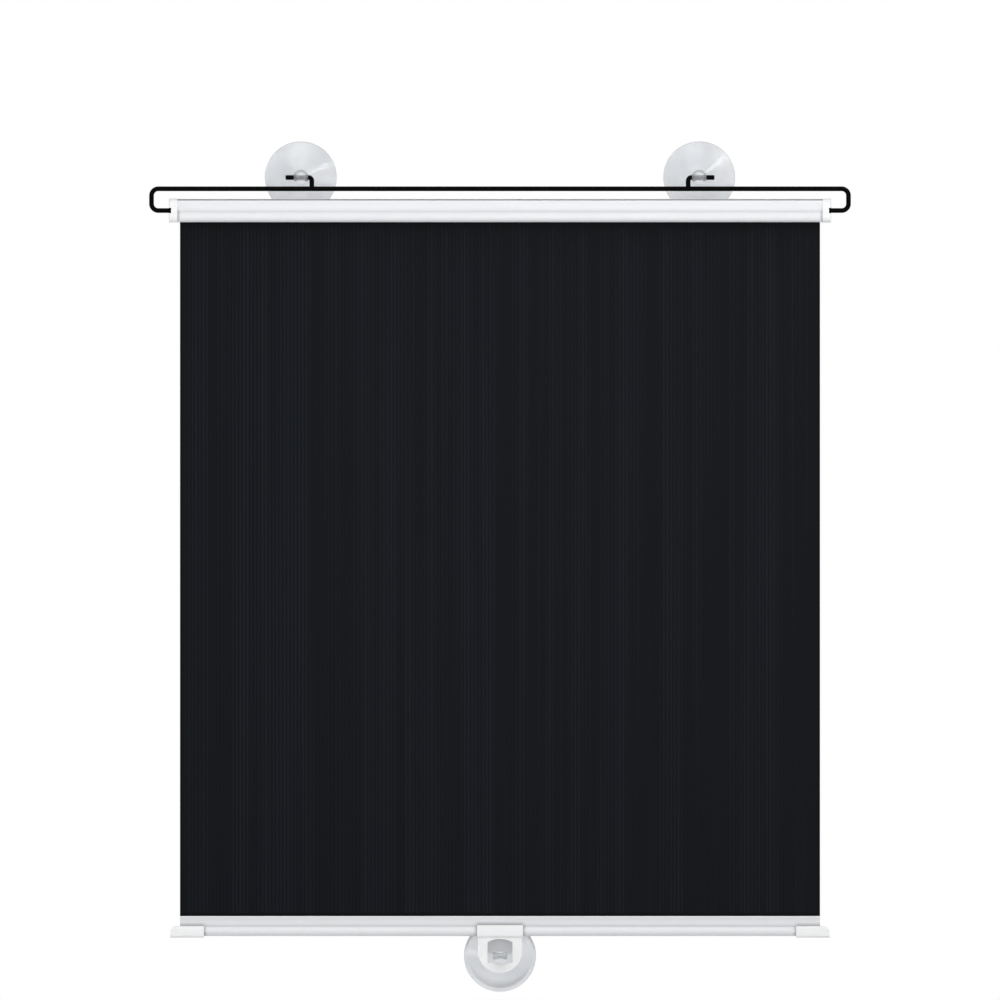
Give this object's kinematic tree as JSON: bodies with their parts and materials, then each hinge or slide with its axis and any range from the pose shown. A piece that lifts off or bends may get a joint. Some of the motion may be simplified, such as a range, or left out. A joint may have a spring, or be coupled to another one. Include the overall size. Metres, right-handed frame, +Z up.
{
  "type": "car side window sunshade",
  "caption": "Retractable roller sunshade for a car side window: housing, ribbed shade, weighted rail with pull tab, wire hanger and suction cups.",
  "frame": {"origin": "on the glass plane, midway between the two upper suction cups at the height of their centres", "axes": "+Y points at the window glass, +Z up along the drawn shade, +X to the right for someone inside the car who faces the glass"},
  "size_m": [0.4386, 0.0229, 0.5314],
  "materials": {
    "white_extrusion": "satin white extruded plastic",
    "white_moulding": "satin white moulded plastic",
    "black_wire": "gloss black dipped steel wire",
    "clear_plastic": "clear soft plastic, glossy",
    "shade_fabric": "matte black ribbed shade sheet",
    "zinc_steel": "zinc plated steel",
    "spring_steel": "oiled spring steel"
  },
  "bodies": {
    "cassette": {"housing": "white_extrusion", "end_cap_left": "white_moulding", "end_cap_right": "white_moulding", "hanger_wire": "black_wire", "hook_left": "black_wire", "hook_right": "black_wire", "spring_shaft": "zinc_steel", "spring_anchor": "white_moulding", "torsion_spring": "spring_steel", "idler_pin": "zinc_steel", "shade_fabric": "shade_fabric"},
    "roller": {"roller_tube": "zinc_steel", "spring_plug": "white_moulding", "idler_plug": "white_moulding", "fabric_turns": "shade_fabric"},
    "bottom_bar": {"bottom_rail": "white_extrusion", "hem_rod": "white_moulding", "rail_plug_left": "white_moulding", "rail_plug_right": "white_moulding", "pull_tab": "white_moulding", "suction_cup_lower": "clear_plastic"},
    "cup_left": {"suction_cup_left": "clear_plastic"},
    "cup_right": {"suction_cup_right": "clear_plastic"}
  },
  "joints": [
    {"name": "shade_pull", "type": "slide", "parent": "cassette", "child": "bottom_bar", "axis": [0, 0, 1], "range_m": [0, 0.437], "deforming": ["shade_fabric"]},
    {"name": "roller_turn", "type": "hinge", "parent": "cassette", "child": "roller", "pos_m": [0, -0.0145, -0.02065], "axis": [1, 0, 0], "range_deg": [0, 5080]},
    {"name": "cup_left_swing", "type": "hinge", "parent": "cassette", "child": "cup_left", "pos_m": [-0.1245, -0.0145, 0], "axis": [1, 0, 0], "range_deg": [-3, 90]},
    {"name": "cup_right_swing", "type": "hinge", "parent": "cassette", "child": "cup_right", "pos_m": [0.1245, -0.0145, 0], "axis": [1, 0, 0], "range_deg": [-3, 90]}
  ],
  "couplings": [
    {"joint": "roller_turn", "follows": "shade_pull", "rad_per_m": 202.87}
  ]
}
